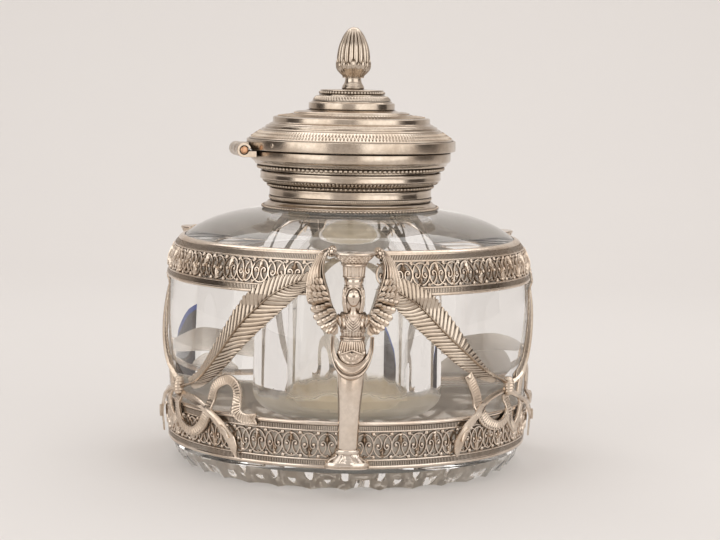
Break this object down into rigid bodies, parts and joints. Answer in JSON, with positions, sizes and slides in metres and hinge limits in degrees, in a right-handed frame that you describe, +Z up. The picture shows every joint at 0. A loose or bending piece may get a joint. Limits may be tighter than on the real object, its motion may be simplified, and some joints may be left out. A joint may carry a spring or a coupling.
{
  "type": "inkwell",
  "caption": "Round crystal inkwell in a pierced silver frame with winged herms, quills and bows, under a hinged silver lid.",
  "frame": {"origin": "centre of the flat base, on the surface the inkwell stands on", "axes": "+Z up along the body's axis; -Y is the front, where herm figure 1 stands; +X is to its viewer's right"},
  "size_m": [0.1062, 0.1115, 0.1239],
  "materials": {
    "silver": "old silver, satin to polished, dark in the recesses",
    "crystal": "clear cut crystal, polished",
    "pin_brass": "satin, coppery"
  },
  "bodies": {
    "base": {"glass_body": "crystal", "collar": "silver", "flange_bead_wire": "silver", "collar_reed_wire_low": "silver", "collar_bead_wire_low": "silver", "collar_reed_wire_high": "silver", "collar_bead_wire_high": "silver", "hinge_knuckle_front": "silver", "hinge_knuckle_back": "silver", "hinge_pin": "pin_brass", "lower_gallery": "silver", "upper_gallery_1": "silver", "upper_gallery_2": "silver", "upper_gallery_3": "silver", "herm_figure_1": "silver", "pilaster_1": "silver", "wing_left_1": "silver", "wing_right_1": "silver", "quill_left_1": "silver", "quill_right_1": "silver", "bow_knot_1": "silver", "ribbon_left_1": "silver", "ribbon_right_1": "silver", "tail_left_1": "silver", "tail_right_1": "silver", "herm_figure_2": "silver", "pilaster_2": "silver", "wing_left_2": "silver", "wing_right_2": "silver", "quill_left_2": "silver", "quill_right_2": "silver", "bow_knot_2": "silver", "ribbon_left_2": "silver", "ribbon_right_2": "silver", "tail_left_2": "silver", "tail_right_2": "silver", "herm_figure_3": "silver", "pilaster_3": "silver", "wing_left_3": "silver", "wing_right_3": "silver", "quill_left_3": "silver", "quill_right_3": "silver", "bow_knot_3": "silver", "ribbon_left_3": "silver", "ribbon_right_3": "silver", "tail_left_3": "silver", "tail_right_3": "silver"},
    "lid": {"lid_rim": "silver", "lid_dome": "silver", "lid_cap": "silver", "lid_rope_wire": "silver", "lid_bead_wire": "silver", "finial": "silver", "finial_nut": "pin_brass", "hinge_knuckle_lid": "silver"}
  },
  "joints": [
    {"name": "lid_hinge", "type": "hinge", "parent": "base", "child": "lid", "pos_m": [-0.03133, -0.00723, 0.0889], "axis": [0.225, -0.9744, 0], "range_deg": [0, 105]}
  ]
}
